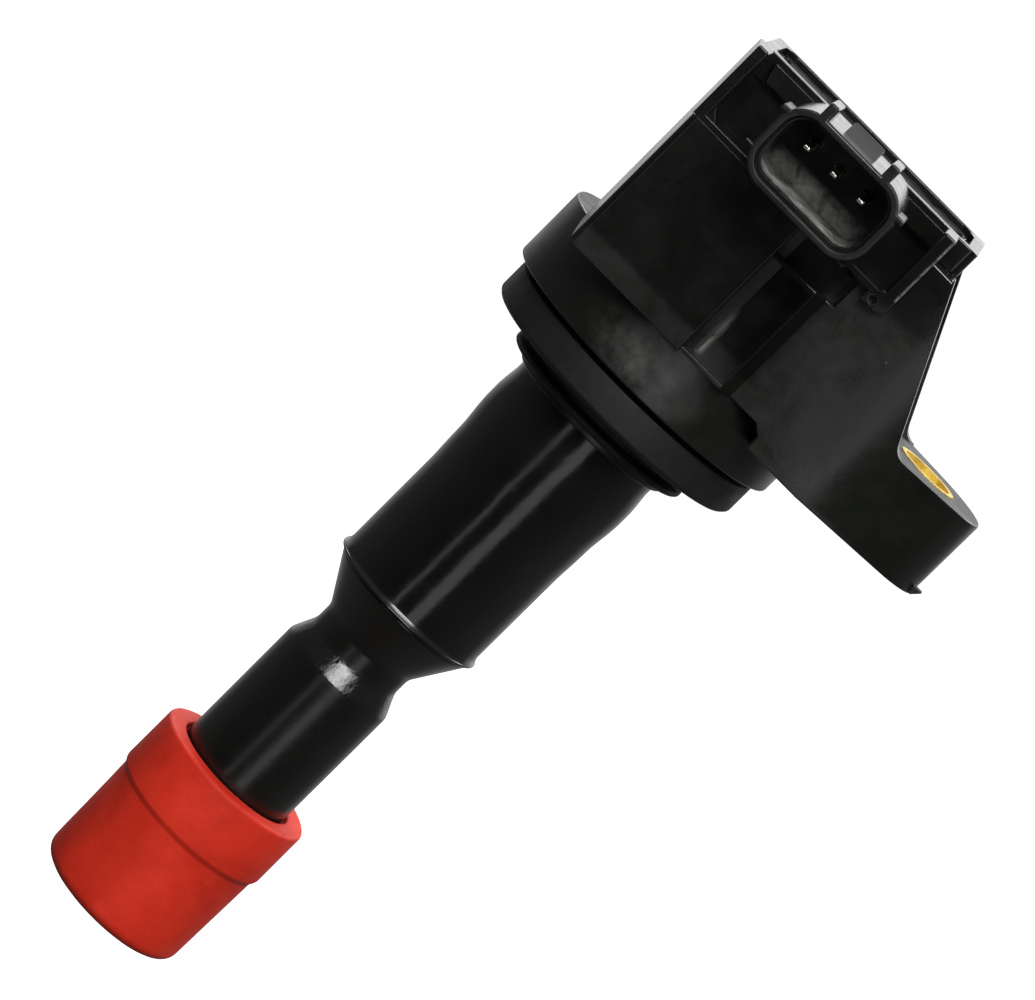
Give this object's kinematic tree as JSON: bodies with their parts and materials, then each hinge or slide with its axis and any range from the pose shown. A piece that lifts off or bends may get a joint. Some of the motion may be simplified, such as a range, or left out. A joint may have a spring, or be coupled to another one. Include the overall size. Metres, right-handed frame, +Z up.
{
  "type": "ignition coil",
  "caption": "Coil-on-plug ignition coil: boxy potted head with connector socket and mounting ear, round flange with seal, tubular coil body and rubber plug boot on a sprung contact.",
  "frame": {"origin": "centre of the boot's mouth, where the spark plug enters", "axes": "+Z up the coil's axis from the spark plug to the head, -Y the connector's side, +X the mounting ear's side"},
  "size_m": [0.0584, 0.0491, 0.1259],
  "materials": {
    "black_plastic": "satin moulded, glossy on the front panels",
    "resin": "glossy cast resin",
    "tinned_brass": "tin plated",
    "yellow_zinc": "yellow passivated zinc",
    "seal_rubber": "matt",
    "sleeve_plastic": "high gloss",
    "tube_plastic": "satin",
    "red_rubber": "matt silicone",
    "module_epoxy": "moulded epoxy",
    "spreader_aluminium": "rolled",
    "copper_wire": "enamelled copper",
    "core_steel": "silicon steel sheet",
    "magnet": "sintered",
    "cushion_rubber": "matt",
    "bobbin_plastic": "glass-filled, satin",
    "diode_epoxy": "moulded epoxy",
    "resistor_body": "matt ceramic",
    "spring_steel": "bright spring wire",
    "cap_steel": "nickel plated"
  },
  "bodies": {
    "coil": {"housing": "black_plastic", "potting_resin": "resin", "terminal_power": "tinned_brass", "terminal_ground": "tinned_brass", "terminal_trigger": "tinned_brass", "mount_bush": "yellow_zinc", "seal_ring": "seal_rubber", "upper_sleeve": "sleeve_plastic", "extension_tube": "tube_plastic", "igniter_module": "module_epoxy", "igniter_heat_spreader": "spreader_aluminium", "igniter_links": "tinned_brass", "primary_lead_start": "copper_wire", "primary_lead_end": "copper_wire", "centre_core": "core_steel", "core_magnet": "magnet", "core_cushion_top": "cushion_rubber", "core_cushion_bottom": "cushion_rubber", "secondary_bobbin": "bobbin_plastic", "secondary_winding": "copper_wire", "primary_bobbin": "bobbin_plastic", "primary_winding": "copper_wire", "outer_core": "core_steel", "hv_diode": "diode_epoxy", "hv_terminal": "tinned_brass", "noise_resistor": "resistor_body", "contact_spring": "spring_steel"},
    "contact": {"contact_cap": "cap_steel"},
    "boot": {"plug_boot": "red_rubber"}
  },
  "joints": [
    {"name": "contact_travel", "type": "slide", "parent": "coil", "child": "contact", "axis": [0, 0, 1], "range_m": [0, 0.004], "stiffness_N_per_m": 900, "deforming": ["contact_spring"]},
    {"name": "boot_pull", "type": "slide", "parent": "coil", "child": "boot", "axis": [0, 0, -1], "range_m": [0, 0.014]}
  ]
}
